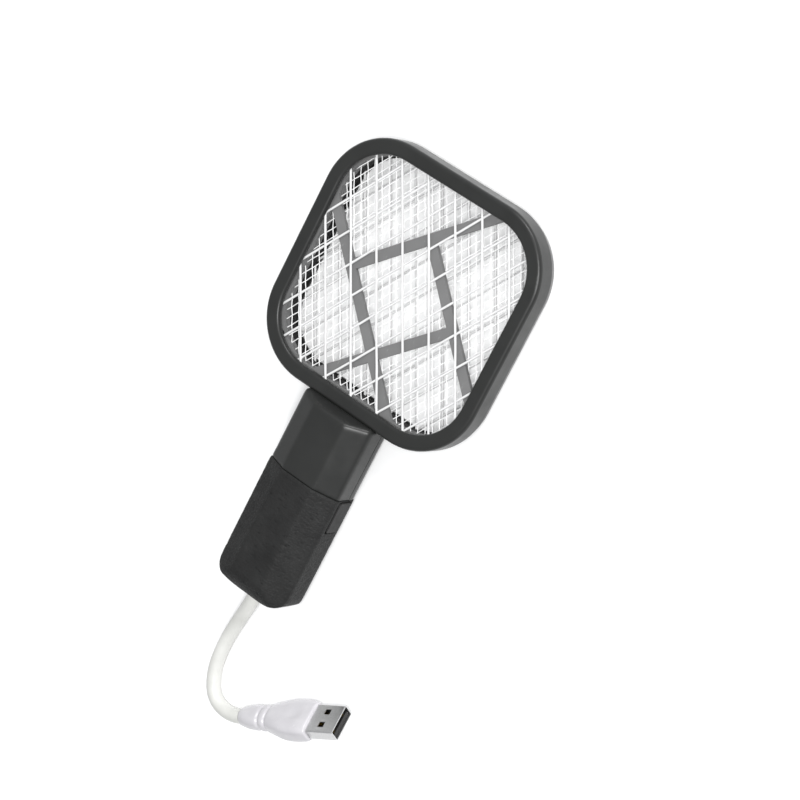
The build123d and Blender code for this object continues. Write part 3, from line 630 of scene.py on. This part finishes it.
def make_cord(material):
    """The white cord, one smooth spline."""
    curve = wire_curve("supply_cord", CORD_DIAMETER / 2, 8)
    curve.resolution_u = 24
    add_spline(curve, cord_route())
    cord = bpy.data.objects.new("supply_cord", curve)
    add_piece(cord, "usb_cord", material)
    return cord


# ---------------------------------------------------------------- plug moulding
# Along the plug: place, half width, half height, and how square the section is.
PLUG_SECTIONS = [
    (0.0, 2.85, 2.85, 2.0),
    (0.8, 3.25, 3.15, 2.0),
    (3.5, 4.15, 3.60, 2.1),
    (6.5, 4.60, 3.80, 2.2),
    (8.8, 4.70, 3.85, 2.3),
    (9.4, 4.55, 3.70, 2.3),
    (9.7, 4.05, 3.25, 2.3),
    (10.3, 4.05, 3.25, 2.3),
    (10.6, 4.55, 3.70, 2.3),
    (11.2, 4.80, 3.85, 2.3),
    (12.2, 4.85, 3.85, 2.3),
    (12.7, 4.70, 3.70, 2.3),
    (13.0, 4.25, 3.30, 2.3),
    (13.6, 4.30, 3.30, 2.4),
    (13.9, 4.90, 3.75, 2.4),
    (14.7, 5.30, 3.90, 2.5),
    (17.5, 6.10, 3.98, 2.8),
    (21.0, 7.20, 4.06, 3.4),
    (24.5, 7.75, 4.10, 3.9),
    (29.5, 7.65, 4.00, 4.0),
    (32.0, 7.35, 3.80, 4.0),
    (32.8, 7.10, 3.60, 3.8),
    (33.0, 6.70, 3.20, 3.6),
]
SECTION_POINTS = 40
DIMPLE_X = 26.0
DIMPLE_HALF_LENGTH = 2.6
DIMPLE_HALF_WIDTH = 1.9
DIMPLE_DEPTH = 0.4
WIDE_FACE_Z = 2.5


def section_point(angle, half_width, half_height, power):
    """One point of a rounded-square section."""
    cosine, sine = math.cos(angle), math.sin(angle)
    y = half_width * math.copysign(abs(cosine) ** (2 / power), cosine)
    z = half_height * math.copysign(abs(sine) ** (2 / power), sine)
    return y, z


def press_dimple(mesh):
    """Sink a shallow thumb dimple into both wide faces."""
    for vertex in mesh.vertices:
        x, y = vertex.co.x / MM - DIMPLE_X, vertex.co.y / MM
        hollow = math.exp(-((x / DIMPLE_HALF_LENGTH) ** 4) - (y / DIMPLE_HALF_WIDTH) ** 4)
        if abs(vertex.co.z) > WIDE_FACE_Z * MM:
            vertex.co.z -= math.copysign(DIMPLE_DEPTH * MM * hollow, vertex.co.z)


def make_plug_body(material):
    """White moulding: a tapered boot, two ring grooves, a squarer body and a shallow thumb dimple."""
    shape = bmesh.new()
    rings = []
    for x, half_width, half_height, power in PLUG_SECTIONS:
        ring = []
        for k in range(SECTION_POINTS):
            angle = 2 * math.pi * k / SECTION_POINTS
            y, z = section_point(angle, half_width, half_height, power)
            ring.append(shape.verts.new(Vector((x, y, z)) * MM))
        rings.append(ring)
    for near, far in zip(rings, rings[1:]):
        for k in range(SECTION_POINTS):
            after = (k + 1) % SECTION_POINTS
            shape.faces.new((near[k], near[after], far[after], far[k]))
    shape.faces.new(rings[0][::-1])
    shape.faces.new(rings[-1])
    bmesh.ops.recalc_face_normals(shape, faces=shape.faces)
    cage = bpy.data.meshes.new("plug_cage")
    shape.to_mesh(cage)
    shape.free()
    blank = bpy.data.objects.new("plug_blank", cage)
    refine = blank.modifiers.new("refine", "SUBSURF")
    refine.levels = 2
    mesh = applied(blank)
    mesh.name = "plug_moulding"
    press_dimple(mesh)
    mesh.transform(plug_matrix())
    smooth(mesh)
    body = bpy.data.objects.new("plug_moulding", mesh)
    add_piece(body, "usb_plug_body", material)
    return body


# ---------------------------------------------------------------- build
make_camera()
finishes = dress_cad()
supply_cord = make_cord(finishes["cord_jacket"])
make_plug_body(finishes["plug_moulding"])
make_guard("front_guard", "front_mesh", 3.0 * MM, 4, finishes["white_wire"])
make_guard("back_guard", "back_mesh", 3.6 * MM, 9, finishes["white_wire"])
make_live_mesh(finishes["fine_wire"])
make_shoulder(finishes["housing_plastic"])
make_grip(finishes["grip_texture"])
make_stage()
